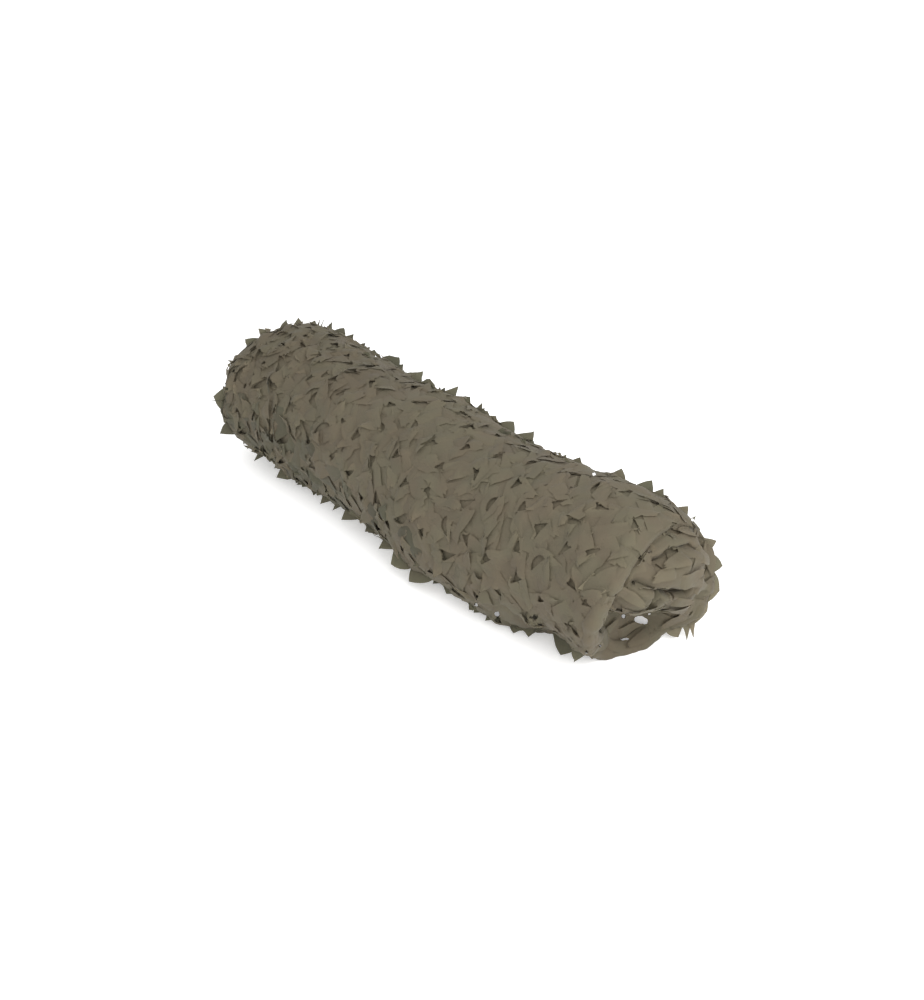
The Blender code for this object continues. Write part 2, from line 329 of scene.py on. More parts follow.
# The folded edge of the outer turn round the open end
HEM_TURNS, HEM_ARC = (112, 350), (135, -95)
HEM_STEPS = (120, 13)
HEM_RADIUS, HEM_WAVE, HEM_RIPPLE = 0.017, 0.003, 0.002
HEM_END_STEPS, HEM_END_SIZE = 14, 0.35  # it thins to this share over its last rows
HEM_BACK, HEM_UNDER = 0.009, 0.010  # from the rim back along the roll, and towards its middle
HEM_FLOOR_Z, HEM_TINT = 0.001, 0.7

# Strips and leaves cut out of the net, by kind: the X that each comes before, the distance to the
# next, its size, its slant from the roll's length in degrees, the height of its tip, of its middle
# and of its long edges, how that height grows, how late it narrows (1 is in a straight line), the
# share of its width left at its end, the slant of that end, how far it leans sideways, how deep its
# sides are notched, and its mesh.
LEAVES = {
    "name": ("strips_under", "strips_over", "leaves_blunt", "leaves_pointed", "frills"),
    "before_x": (1.0, 1.0, 1.0, 1.0, -0.38),
    "apart": (0.047, 0.056, 0.085, 0.078, 0.036),
    "length": ((0.08, 0.13), (0.06, 0.1), (0.045, 0.065), (0.045, 0.065), (0.026, 0.044)),
    "width": ((0.04, 0.058), (0.034, 0.052), (0.04, 0.056), (0.046, 0.068), (0.018, 0.034)),
    "slant": ((20, 80), (15, 85), (35, 90), (45, 90), (0, 90)),
    "tip": ((-0.004, 0.002), (-0.003, 0.004), (0.001, 0.009), (0.003, 0.014), (-0.001, 0.01)),
    "middle": ((0.0, 0.002), (0.0, 0.003), (0.0, 0.002), (0.0, 0.001), (-0.001, 0.003)),
    "edge": ((-0.001, 0.001), (-0.001, 0.002), (-0.001, 0.002), (-0.001, 0.002), (-0.002, 0.005)),
    "curl": ((0.8, 1.6), (0.8, 1.8), (0.1, 0.8), (0.0, 0.6), (0.0, 0.8)),
    "taper": ((1.2, 5.0), (1.0, 4.0), (1.4, 3.0), (0.9, 1.5), (0.9, 3.0)),
    "end": ((0.4, 1.0), (0.3, 0.9), (0.2, 0.6), (0.0, 0.12), (0.0, 0.6)),
    "cut": (0.9, 1.0, 0.8, 0.0, 0.9),
    "sweep": (0.15, 0.3, 0.35, 0.4, 0.5),
    "bite": (0.6, 0.65, 0.4, 0.2, 0.6),
    "steps": ((16, 6), (14, 6), (10, 6), (10, 6), (8, 4)),
}
TRIES = 14  # how many places are tried for each that is wanted
BEFORE_X_SOFT = 0.15
OPEN_END = (0.3, 0.6)  # how far a normal points along X on the open end, which has none of them
ACROSS_END = 0.8  # where it points further, Y is the way ahead and not X
ROOT_SINK, ROOT_SHARE = 0.005, 0.22  # how far a leaf starts under its neighbours, and how much of it
TUCKED = (0.004, 0.008)  # how far one of its long edges goes under them
RIPPLE, RAGGED = 0.0015, 0.006  # how uneven its surface and its cut end are
NOTCH, NOTCH_REACH = (0.2, 0.8), 0.15
FLOOR_CLEARANCE = 0.0006
PRESSED_X, PRESSED_UP = (0.1, 0.4), (0.3, 0.7)  # the top of the near half is pressed flat
NEAR_FLOOR_Z = (0.08, 0.0)
CALM_PRESSED, CALM_BY_FLOOR = 0.6, 0.4  # how much lower leaf tips are in these two places
LEAF_TINT = (0.15, 1.0)

# Painted shade: low on the far half's front, where shade falls, up to this share of leaves are drawn
# darker
PAINTED_SHADE_SHARE, PAINTED_SHADE_DARKER = 0.6, 6
PAINTED_SHADE_UP, PAINTED_SHADE_BACK, PAINTED_SHADE_X = (0.45, -0.15), (0.1, -0.3), (0.35, -0.35)

# The cloth's colours by the leaves' tint, and those that multiply them in soft patches. The two
# darkest stops are painted shade, used by the standing leaves and by the leaves drawn darker low on
# the far half.
LEAF_COLOURS = table(
    "at colour",
    (0.00, (0.076, 0.071, 0.050)),
    (0.05, (0.120, 0.112, 0.078)),
    (0.20, (0.150, 0.129, 0.091)),
    (1.00, (0.164, 0.142, 0.099)),
)
PATCH_COLOURS = table("at colour", (0.38, (0.99, 0.96, 0.93)), (0.62, (0.98, 1.01, 0.965)))
CLOUDS = {"Scale": 9.0, "Detail": 3.0}
PATCHES = {"Scale": 16.0, "Detail": 2.0}
CRUMPLES = {"Scale": 70.0, "Detail": 3.0}
WEAVE = {"Scale": 900.0, "Detail": 2.0}
CLOUD_SHARE, PATCH_SHARE = 0.20, 1.0
CRUMPLE_BUMP = {"Strength": 0.35, "Distance": 0.003}
WEAVE_BUMP = {"Strength": 0.25, "Distance": 0.0004}
CLOTH_LOOK = {"Roughness": 0.85, "Specular IOR Level": 0.25, "Sheen Weight": 0.08}
THIN_SHARE, THIN_BRIGHTER = 0.35, 2.2  # the share of light that comes through, and its colour

FLOOR_SIZE, FLOOR_Z = 40, -0.0008
FLOOR_LOOK = {
    "Base Color": (0.9, 0.9, 0.9, 1),
    "Roughness": 0.9,
    "Specular IOR Level": 0.0,
    "Emission Color": (1, 1, 1, 1),
    "Emission Strength": 0.36,
}
ROOM_LOOK = {"Color": (1, 1, 1, 1), "Strength": 1.1}
LIGHT_PLACE, LIGHT_AIM = (2.7, -0.6, 2.5), (0, 0, 0.15)
LIGHT_SIZE, LIGHT_POWER = 3.2, 112

# The photo's camera, worked out from its outline
CAMERA_TURN, CAMERA_RISE, CAMERA_DISTANCE = 48.7, 30.0, 3.40
FOCAL_PIXELS, PICTURE_HEIGHT, FILM_HEIGHT = 1389.0, 1000, 36.0
AIM_HEIGHT = 0.18
AIM_OFF_X, AIM_OFF_Y = -19.9, -20.8  # where the aim point lies from the picture's middle, in pixels


def smooth_step(value):
    t = np.clip(value, 0.0, 1.0)
    return t * t * (3 - 2 * t)


def eased(value, span):
    """None at the span's first value, full at its second, and a soft step between them."""
    return smooth_step((value - span[0]) / (span[1] - span[0]))


def as_rows(columns):
    """The rows of a table that is given by its columns."""
    return [dict(zip(columns, values)) for values in zip(*columns.values())]


def unit(vectors):
    return vectors / np.maximum(np.linalg.norm(vectors, axis=-1, keepdims=True), 1e-12)


def bulge_at(x, turn, bulges=BULGES):
    height = np.zeros_like(x)
    for bulge in bulges:
        apart = (np.degrees(turn) - bulge["turn"] + 180) % 360 - 180
        near = (x - bulge["x"]) / bulge["reach_x"]
        height += bulge["height"] * np.exp(-(near**2) - (apart / bulge["reach_turn"]) ** 2)
    return height


def rim_at(turn):
    return np.interp(np.degrees(turn) % 360, RIM["turn"], RIM["x"])


def section_point(x, share, turn):
    """The Y and Z of a place in the wound cloth."""
    out = bulge_at(x, turn) * share
    y = np.cos(turn) * (share * ROLL_WIDTH / 2 + out)
    y = y * (1 - TOP_NARROWER * np.sin(turn))
    z = ROLL_HEIGHT / 2 - SETTLE + np.sin(turn) * (share * ROLL_HEIGHT / 2 + out)
    return y, z


def crease_depth(y, z):
    depth = np.zeros_like(y)
    for crease in CREASES:
        start, end = np.array(crease["from"]), np.array(crease["to"])
        line = end - start
        at = ((y - start[0]) * line[0] + (z - start[1]) * line[1]) / (line @ line)
        at = np.clip(at, 0, 1)
        away = np.hypot(y - start[0] - at * line[0], z - start[1] - at * line[1])
        depth = np.maximum(depth, crease["depth"] * np.exp(-((away / crease["width"]) ** 2)))
    return depth


def inner_face(y, z, rim):
    """The open end inside the rim, as X: the bulging inner turns, the mouth and its filled side."""
    lower = MASS_SIDE_DROP * eased(y, MASS_SIDE_Y) * (z < MASS_Z)
    off = np.hypot((y - MASS_Y) / MASS_HALF_WIDTH, (z - MASS_Z) / (MASS_HALF_HEIGHT + lower))
    dome = np.sqrt(np.clip(1 - off**2, 0, 1))
    mass = MASS_ROOT_X + (MASS_TIP_X - MASS_ROOT_X) * dome - crease_depth(y, z)
    beside = eased(y, MOUTH_SIDE_Y)
    under = eased(z, MOUTH_TOP_Z) * eased(off, MASS_EDGE) * (1 - beside)
    shelf = rim - SHELF_BACK + SHELF_FORWARD * beside
    inner = (mass + shelf + np.hypot(mass - shelf, MASS_BLEND * beside)) / 2
    return inner * (1 - under) + MOUTH_BACK_X * under


def near_face(y, z, share, turn, walled):
    """The open end's face, as X. Unless it is walled, the mouth has no outer turn round it."""
    rim = rim_at(turn)
    lip = 1 + LIP_FULLER * np.exp(-(((np.degrees(turn) % 360 - LIP_TURN) / LIP_REACH) ** 2))
    wall_from = 1 - MOUTH_WALL * lip / (ROLL_WIDTH / 2)
    wall = smooth_step((share - wall_from) / MOUTH_WALL_SOFT)
    if not walled:
        wall = wall * (1 - eased(z, CORE_MOUTH_TOP_Z))
    return inner_face(y, z, rim) * (1 - wall) + rim * wall


def far_face(share, turn):
    """The closed end's face, as X: a round shoulder, a dish, and the wound turns in a spiral."""
    along = (1 - share**FAR_POWER) ** (1 / FAR_POWER)
    dome = FAR_END_X + FAR_SHOULDER - FAR_SHOULDER * along
    dish = FAR_DISH * np.clip(1 - (share / FAR_DISH_SHARE) ** 2, 0, 1) ** 1.5
    phase = (share * ROLL_WIDTH / 2 / TURN_PITCH + turn / (2 * math.pi)) % 1.0
    rise = eased(phase, (0, TURN_CREST)) - eased(phase, (TURN_CREST, 1))
    return dome + dish - eased(share, FAR_TURNS) * TURN_STEP * (rise - 0.5)


def near_ring(share, turn, walled):
    y, z = section_point(rim_at(turn), share, turn)
    return near_face(y, z, share, turn, walled), y, z


def body_ring(along, turn, walled):
    front = rim_at(turn) - RIM_ROUNDING
    if not walled:
        low = eased(ROLL_HEIGHT / 2 * (1 + np.sin(turn)), CORE_RIM_TOP_Z)
        front = front * (1 - low) + (MOUTH_BACK_X - CORE_RIM_BACK) * low
    back = FAR_END_X + FAR_SHOULDER
    x = back + along * (front - back)
    return x, *section_point(x, 1.0, turn)


def far_ring(share, turn, walled):
    x = far_face(share, turn)
    return x, *section_point(x, share, turn)


def wound_cloth(around, near_rings, body_rings, far_rings, walled=True):
    """The wound cloth as rings of points with triangles between them, from end to end."""
    far_shares = np.cos(np.linspace(0, math.pi / 2, far_rings)[1:]) ** (2 / FAR_POWER)
    rings = [(near_ring, share) for share in np.linspace(MIDDLE_SHARE, FACE_SHARE, near_rings)]
    rings += [(body_ring, along) for along in np.linspace(1, 0, body_rings)]
    rings += [(far_ring, share) for share in np.maximum(far_shares, MIDDLE_SHARE)]
    points = []
    for number, (ring, place) in enumerate(rings):
        turn = (np.arange(around) + number % 2 / 2) * 2 * math.pi / around
        points.append(np.stack(ring(place, turn, walled), axis=-1))
    points = np.concatenate(points)
    points[:, :2] += OFF_MIDDLE
    points[:, 2] = np.maximum(points[:, 2], 0.0)
    return points, ring_triangles(len(rings), around)


def ring_triangles(rows, columns):
    """Triangles between rings whose points are half a step on, on every other ring."""
    r, c = np.meshgrid(np.arange(rows - 1), np.arange(columns), indexing="ij")
    following = (c + 1) % columns
    a, b = r * columns + c, r * columns + following
    d, e = a + columns, b + columns
    even = (r % 2 == 0)[..., None]
    first = np.where(even, np.stack([a, b, d], -1), np.stack([a, e, d], -1))
    second = np.where(even, np.stack([b, e, d], -1), np.stack([a, b, e], -1))
    return np.concatenate([first.reshape(-1, 3), second.reshape(-1, 3)])


def corner_sums(values, triangles, count):
    """For each point, the sum of the values of the triangles round it."""
    return np.stack(
        [
            sum(np.bincount(triangles[:, k], values[:, axis], count) for k in range(3))
            for axis in range(values.shape[1])
        ],
        axis=-1,
    )


def face_vectors(points, triangles):
    """For each triangle, a vector square to it that is as long as its area."""
    a, b, c = (points[triangles[:, k]] for k in range(3))
    return np.cross(b - a, c - a) / 2


def surface(points, triangles):
    """Outward normals, and the area round each point."""
    faces = face_vectors(points, triangles)
    normals = unit(corner_sums(faces, triangles, len(points)))
    areas = corner_sums(np.linalg.norm(faces, axis=1)[:, None], triangles, len(points))[:, 0] / 3
    outward = (normals * (points - points.mean(axis=0))).sum()
    return (normals if outward > 0 else -normals), areas


def mesh_piece(name, points, triangles, tint, material):
    mesh = bpy.data.meshes.new(name)
    mesh.from_pydata(points.tolist(), [], triangles.tolist())
    mesh.polygons.foreach_set("use_smooth", np.ones(len(mesh.polygons), bool))
    layer = mesh.attributes.new("tint", "FLOAT", "POINT")
    layer.data.foreach_set("value", np.asarray(tint, np.float32))
    mesh.update()
    piece = bpy.data.objects.new(name, mesh)
    bpy.context.scene.collection.objects.link(piece)
    piece.data.materials.append(material)
    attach(piece, "root")
    return piece


def cloth_piece(name, points, triangles, inside, tint, material):
    """A sheet of cloth, cut open. Its area is worked out but not used."""
    points, triangles, tint = cut_open(points, triangles, inside, tint)
    piece = mesh_piece(name, points, triangles, tint, material)
    area = float(np.linalg.norm(face_vectors(points, triangles), axis=1).sum())


def scattered(points, weights, apart, rng):
    """Numbers of points that lie at least apart from each other."""
    count = int(TRIES * weights.sum() / apart**2)
    picked = rng.choice(len(points), size=count, p=weights / weights.sum())
    spots = points[picked]
    cells = {}
    kept = []
    for number, spot in enumerate(spots):
        cell = tuple(np.floor(spot / apart).astype(int))
        near = (
            other
            for dx in (-1, 0, 1)
            for dy in (-1, 0, 1)
            for dz in (-1, 0, 1)
            for other in cells.get((cell[0] + dx, cell[1] + dy, cell[2] + dz), ())
        )
        if all((spots[other] - spot) @ (spots[other] - spot) > apart**2 for other in near):
            cells.setdefault(cell, []).append(number)
            kept.append(number)
    return picked[kept]


def slanted_frames(normals, slant, rng):
    """For each normal, a forward and a sideways direction, slanted from the roll's length."""
    count = len(normals)
    turn = np.radians(rng.choice([-1, 1], count) * rng.uniform(*slant, count))
    turn = turn + math.pi * (rng.random(count) < 0.5)
    ahead = np.tile([1.0, 0.0, 0.0], (count, 1))
    ahead[np.abs(normals[:, 0]) > ACROSS_END] = (0.0, 1.0, 0.0)
    ahead = unit(ahead - normals * (ahead * normals).sum(axis=1, keepdims=True))
    side = np.cross(normals, ahead)
    forward = ahead * np.cos(turn)[:, None] + side * np.sin(turn)[:, None]
    return forward, np.cross(forward, normals)


def gap_shape(u, v, crescent):
    """Below zero in a gap of unit size: it has three hollow sides, and a crescent has two."""
    narrowing = np.clip(0.5 - u, 0, 1) ** 1.5
    base = -0.5 + GAP_HOLLOW * (1 - np.minimum(v * v, 1)) - u
    tooth = np.maximum(np.abs(v) - narrowing, base * 1.6)
    bend = 1 - 4 * u * u
    moon = np.abs(v - CRESCENT_BOW * bend) - CRESCENT_HALF * np.clip(bend, -1, 1)
    return np.where(crescent, moon, tooth)


def place_gaps(kind, points, normals, weights, rng):
    centres = scattered(points, weights, kind["apart"], rng)
    count = len(centres)
    ahead, side = slanted_frames(normals[centres], GAP_SLANT, rng)
    return {
        "centre": points[centres],
        "ahead": ahead,
        "side": side,
        "length": rng.uniform(*kind["length"], count),
        "width": rng.uniform(*kind["width"], count),
        "crescent": rng.random(count) < CRESCENTS,
        "lift": rng.uniform(*GAP_RISE, count),
    }


def end_gaps(points, normals):
    """The open end's own gaps, laid out as place_gaps does."""
    start = np.array([gap["from"] for gap in END_GAPS])
    end = np.array([gap["to"] for gap in END_GAPS])
    centre, ahead = (start + end) / 2, unit(end - start)
    closest = [np.argmin(((points - place) ** 2).sum(axis=1)) for place in centre]
    return {
        "centre": centre,
        "ahead": ahead,
        "side": unit(np.cross(ahead, normals[closest])),
        "length": np.linalg.norm(end - start, axis=1) * END_GAP_LONGER,
        "width": np.array([gap["wide"] for gap in END_GAPS]) * END_GAP_WIDER,
        "crescent": np.zeros(len(END_GAPS), bool),
        "lift": np.full(len(END_GAPS), END_GAP_RISE),
    }


def seen_through(points, wider=0.0):
    """How far each point is from the nearest opening that the floor shows through."""
    eye = np.array(camera_place())
    apart = np.full(len(points), 1.0)
    for hole in SEEN_THROUGH:
        sight = unit(np.array(hole["at"]) - eye)
        offset = points - np.array(hole["at"])
        away = np.linalg.norm(offset - np.outer(offset @ sight, sight), axis=1)
        apart = np.minimum(apart, away - hole["wide"] / 2 - wider)
    return apart


def gap_fields(points, gaps):
    """How far each point is inside the cloth, below zero in a gap, and how far it stands up."""
    tree = KDTree(len(points))
    for number, point in enumerate(points):
        tree.insert(point, number)
    tree.balance()
    inside = np.full(len(points), 1.0)
    rise = np.zeros(len(points))
    for gap in as_rows(gaps):
        found = tree.find_range(Vector(gap["centre"]), GAP_REACH)
        near = np.array([number for _, number, _ in found], int)
        offset = points[near] - gap["centre"]
        u, v = offset @ gap["ahead"] / gap["length"], offset @ gap["side"] / gap["width"] * 2
        value = gap_shape(u, v, gap["crescent"]) * gap["width"] / 2
        inside[near] = np.minimum(inside[near], value)
        raised = offset + gap["ahead"] * gap["length"] * GAP_RAISED
        lowered = offset - gap["side"] * gap["width"] * GAP_LOWERED
        rise[near] += gap["lift"] * np.exp(-(raised**2).sum(axis=1) / GAP_RISE_REACH**2)
        rise[near] -= gap["lift"] / 2 * np.exp(-(lowered**2).sum(axis=1) / GAP_RISE_REACH**2)
    return inside, rise


def turned(triangles, first):
    """The triangles with their corners counted on from the first one."""
    return np.stack([triangles[np.arange(len(first)), (first + k) % 3] for k in range(3)], axis=-1)


def cut_open(points, triangles, inside, tint):
    """The triangles' part where inside is above zero, with new points on the gaps' edges."""
    kept = inside > 0
    count = kept[triangles].sum(axis=1)
    one, two = triangles[count == 1], triangles[count == 2]
    one = turned(one, np.argmax(kept[one], axis=1))
    two = turned(two, np.argmin(kept[two], axis=1))

    sides = np.concatenate([one[:, [0, 1]], one[:, [0, 2]], two[:, [0, 1]], two[:, [0, 2]]])
    sides, place = np.unique(np.sort(sides, axis=1), axis=0, return_inverse=True)
    start, end = inside[sides[:, 0]], inside[sides[:, 1]]
    share = np.clip(start / (start - end), *EDGE_SHARE)[:, None]
    added = points[sides[:, 0]] * (1 - share) + points[sides[:, 1]] * share

    place = place.reshape(-1) + len(points)
    one_ab, one_ac, two_ab, two_ac = np.split(place, np.cumsum([len(one), len(one), len(two)]))
    faces = np.concatenate(
        [
            triangles[count == 3],
            np.stack([one[:, 0], one_ab, one_ac], axis=-1),
            np.stack([two_ab, two[:, 1], two[:, 2]], axis=-1),
            np.stack([two_ab, two[:, 2], two_ac], axis=-1),
        ]
    )
    tint = np.broadcast_to(tint, len(points))
    all_points = np.concatenate([points, added])
    all_tint = np.concatenate([tint, tint[sides[:, 0]]])
    used, faces = np.unique(faces, return_inverse=True)
    return all_points[used], faces.reshape(-1, 3), all_tint[used]


def open_places(points):
    """One where gaps and leaves may be, and zero on the resting underside."""
    resting = (points[:, 2] < RESTING_Z) & (np.abs(points[:, 1]) < RESTING_HALF_WIDTH)
    return np.where(resting, 0.0, 1.0)


def stand_off(points, normals):
    """How far the leaves' roots stand off the smooth wound cloth."""
    x, y, z = points.T
    out = STAND_OFF["all"] + STAND_OFF["top"] * np.clip(normals[:, 2], 0, 1)
    out = out + STAND_OFF["far"] * np.clip(-normals[:, 0], 0, 1)
    out = out + STAND_OFF["back"] * np.clip(normals[:, 1], 0, 1) * eased(x, STAND_OFF_BACK_X)
    return out + bulge_at(x, np.arctan2(z - ROLL_HEIGHT / 2 + SETTLE, y), FULLER)


def shaded_leaf_share(points, normals):
    """The share of leaves drawn darker as painted shade, low on the far half's front."""
    front = eased(normals[:, 2], PAINTED_SHADE_UP) * eased(normals[:, 1], PAINTED_SHADE_BACK)
    return PAINTED_SHADE_SHARE * front * eased(points[:, 0], PAINTED_SHADE_X)


def strip_faces(count, rows, columns):
    """Triangles of count grids of rows by columns points."""
    r, c = np.meshgrid(np.arange(rows - 1), np.arange(columns - 1), indexing="ij")
    first = r * columns + c
    one = np.stack([first, first + 1, first + columns + 1], axis=-1)
    two = np.stack([first, first + columns + 1, first + columns], axis=-1)
    grid = np.concatenate([one.reshape(-1, 3), two.reshape(-1, 3)])
    return (grid[None] + (np.arange(count) * rows * columns)[:, None, None]).reshape(-1, 3)


def nearest(tree, points):
    """The places on the cloth nearest to the points, and its normals there."""
    found = [tree.find_nearest(Vector(point)) for point in points]
    return np.array([tuple(hit[0]) for hit in found]), np.array([tuple(hit[1]) for hit in found])


def laid_on(tree, flat, facing, height):
    """Points laid on the cloth and lifted off it, and the places under them."""
    under, outward = nearest(tree, flat)
    outward *= np.sign((outward * facing).sum(axis=1, keepdims=True))
    return under + unit(outward + facing) * height, under


def leaf_places(kind, cloth, rng):
    """Where a kind's leaves are, none of them on the open end, and the cloth's normals there."""
    points, normals = cloth["points"], cloth["normals"]
    before = (kind["before_x"], kind["before_x"] - BEFORE_X_SOFT)
    weights = cloth["weights"] * eased(points[:, 0], before)
    centres = scattered(points, weights, kind["apart"], rng)
    centres = centres[rng.random(len(centres)) > eased(normals[centres, 0], OPEN_END)]
    return points[centres], normals[centres]


def leaf_plan(kind, u, v, draw):
    """Leaves laid flat: how much of the width is left, and where points lie along and across."""
    length, width = draw(*kind["length"]), draw(*kind["width"])
    outline = 1 - (1 - draw(*kind["end"])) * u ** draw(*kind["taper"])
    notch = np.where(v < 0, draw(*NOTCH), draw(*NOTCH))
    bite = np.clip(1 - np.abs(u - notch) / NOTCH_REACH, 0, 1)
    bitten = v * outline * (1 - draw(0, kind["bite"]) * bite)
    across = bitten * width / 2 + draw(-kind["sweep"], kind["sweep"]) * length * u**2
    ragged = draw(-RAGGED, RAGGED, v.size) * u**8
    along = (u - 0.5) * length + draw(-kind["cut"], kind["cut"]) * bitten * width / 2 * u**3 + ragged
    return outline, along, across


def leaf_heights(kind, u, v, outline, calm, draw):
    """How far leaves stand off the cloth: they start under it and rise to their tips."""
    middle = (draw(*kind["middle"]) + ROOT_SINK) * smooth_step(u / ROOT_SHARE) - ROOT_SINK
    tip = calm * draw(*kind["tip"]) * u ** (1 + draw(*kind["curl"]))
    free = v * np.sign(draw(-1, 1))
    edges = draw(*kind["edge"]) * np.maximum(free, 0) ** 2 - draw(*TUCKED) * np.maximum(-free, 0) ** 2
    ripple = draw(0, RIPPLE) * np.sin(7 * u + 2.5 * v + draw(0, 2 * math.pi))
    return middle + tip + (edges + ripple) * np.minimum(1, 2 * outline)


def leaf_layer(kind, cloth, gaps, material, rng):
    """One kind of strip or leaf all over the roll, laid on the cloth and cut by its gaps."""
    centre, normal = leaf_places(kind, cloth, rng)
    count = len(centre)
    forward, right = slanted_frames(normal, kind["slant"], rng)

    def draw(low, high, columns=1):
        return rng.uniform(low, high, (count, 1, columns))

    u = np.linspace(0, 1, kind["steps"][0] + 1)[None, :, None]
    v = np.linspace(-1, 1, kind["steps"][1] + 1)[None, None, :]
    outline, along, across = leaf_plan(kind, u, v, draw)
    pressed = eased(centre[:, 0], PRESSED_X) * eased(normal[:, 2], PRESSED_UP)
    calm = 1 - CALM_PRESSED * pressed - CALM_BY_FLOOR * eased(centre[:, 2], NEAR_FLOOR_Z)
    height = leaf_heights(kind, u, v, outline, calm[:, None, None], draw)

    flat = centre[:, None, None] + forward[:, None, None] * along[..., None]
    flat = (flat + right[:, None, None] * across[..., None]).reshape(-1, 3)
    facing = np.repeat(normal, u.size * v.size, axis=0)
    points, under = laid_on(cloth["tree"], flat, facing, height.reshape(-1, 1))
    points[:, 2] = np.maximum(points[:, 2], FLOOR_CLEARANCE)
    inside = np.minimum(gap_fields(under, gaps)[0], seen_through(points))

    tint = rng.uniform(*LEAF_TINT, count)
    # Painted shade: some leaves low on the far half's front are drawn darker
    shaded = (tint - LEAF_TINT[0]) / (LEAF_TINT[1] - LEAF_TINT[0]) < shaded_leaf_share(centre, normal)
    tint = np.repeat(np.where(shaded, tint / PAINTED_SHADE_DARKER, tint), u.size * v.size)
    faces = strip_faces(count, u.size, v.size)
    cloth_piece(kind["name"], points, faces, inside, tint, material)


def small_fins(rng):
    """Rows like those of FINS, for small leaves along the roll's two edges."""
    fins = []
    for _ in range(SMALL_FIN_COUNT):
        fin = {"x": rng.uniform(*SMALL_FINS["x"])}
        fin["turn"] = rng.uniform(*SMALL_FIN_TURNS[rng.integers(2)])
        for size in ("high", "wide", "lean", "full"):
            fin[size] = rng.uniform(*SMALL_FINS[size])
        fins.append(fin)
    return fins


def fin_roots(fin, aside):
    """Where points beside a standing leaf's middle lie on the smooth wound cloth."""
    round_it = fin["x"] < ROUND_BEFORE_X or fin["x"] > ROUND_PAST_X
    x = fin["x"] + aside * (not round_it)
    turn = math.radians(fin["turn"]) + aside / (ROLL_WIDTH / 2) * round_it
    share = np.clip((FAR_END_X + FAR_SHOULDER - x) / FAR_SHOULDER, 0, 0.98)
    y, z = section_point(x, (1 - share**FAR_POWER) ** (1 / FAR_POWER), turn)
    return np.stack([x, y, z], axis=-1) + (*OFF_MIDDLE, 0)


def standing_leaf(fin, u, v, tree, rng):
    """The points of a leaf that stands out of the cloth, or hangs down from it."""
    low_full, high_full = fin["full"] * rng.uniform(*FIN_UNEVEN, 2)
    half = fin["wide"] / 2
    low = -half + (fin["lean"] + half) * u**low_full
    high = half + (fin["lean"] - half) * u**high_full
    flat = fin_roots(fin, low + (high - low) * v)
    root = nearest(tree, flat.reshape(-1, 3))[0].reshape(flat.shape)
    turn = math.radians(fin["turn"])
    slope = np.interp(fin["x"], FIN_SLOPE["x"], FIN_SLOPE["slope"])
    hangs = HANGING_TURNS[0] < fin["turn"] < HANGING_TURNS[1]
    outward = unit(np.array(HANGING if hangs else (slope, math.cos(turn), math.sin(turn))))
    sideways = np.cross(outward, [1.0, 0.0, 0.0])
    bend = rng.uniform(-FIN_BEND, FIN_BEND) * u**2 + rng.uniform(-FIN_CUP, FIN_CUP) * (2 * v - 1) ** 2
    height = -FIN_SINK + (fin["high"] + FIN_SINK) * u + 0 * v
    return root + outward * height[..., None] + sideways * bend[..., None]


def standing_leaves(tree, material, rng):
    """The leaves that stand out of the outline, and small ones between them."""
    rows, columns = FIN_STEPS
    u = np.linspace(0, 1, rows)[:, None]
    v = np.linspace(0, 1, columns)[None, :]
    fins = FINS + small_fins(rng)
    points = np.array([standing_leaf(fin, u, v, tree, rng) for fin in fins]).reshape(-1, 3)
    points[:, 2] = np.maximum(points[:, 2], FLOOR_CLEARANCE)
    # Painted shade: standing leaves get only dark tints
    lightest = [FIN_SHADE_TINT if fin["x"] < FIN_NEAR_X else FIN_SHADE_TINT_NEAR for fin in fins]
    tint = np.repeat([rng.uniform(0.0, light) for light in lightest], rows * columns)
    faces = strip_faces(len(fins), rows, columns)
    cloth_piece("leaves_standing", points, faces, seen_through(points), tint, material)


def end_leaf(leaf, u, v, tree, rng):
    """The points of a leaf laid on the open end."""
    start, end = np.array(leaf["from"]), np.array(leaf["to"])
    facing = nearest(tree, [(start + end) / 2])[1][0]
    facing *= np.sign(facing[0])
    ahead = unit(end - start)
    across = v * (1 - END_LEAF_NARROWER * u ** rng.uniform(*END_LEAF_TAPER)) * leaf["wide"] / 2
    along = np.linalg.norm(end - start) * u + rng.uniform(-RAGGED, RAGGED, v.size) * u**8
    flat = start + ahead * along[..., None] + np.cross(ahead, facing) * across[..., None]
    middle = (END_LEAF_HEIGHT + ROOT_SINK) * smooth_step(u / END_LEAF_ROOT) - ROOT_SINK
    height = middle + leaf["rise"] * u**2 + 0 * v
    return laid_on(tree, flat.reshape(-1, 3), facing, height.reshape(-1, 1))[0]


def end_leaves(tree, material, rng):
    """The few leaves that lie on the open end and in its mouth."""
    rows, columns = END_LEAF_STEPS
    u = np.linspace(0, 1, rows)[:, None]
    v = np.linspace(-1, 1, columns)[None, :]
    points = np.concatenate([end_leaf(leaf, u, v, tree, rng) for leaf in END_LEAVES])
    tint = np.repeat(rng.uniform(*END_LEAF_TINT, len(END_LEAVES)), rows * columns)
    faces = strip_faces(len(END_LEAVES), rows, columns)
    cloth_piece("leaves_on_end", points, faces, seen_through(points), tint, material)


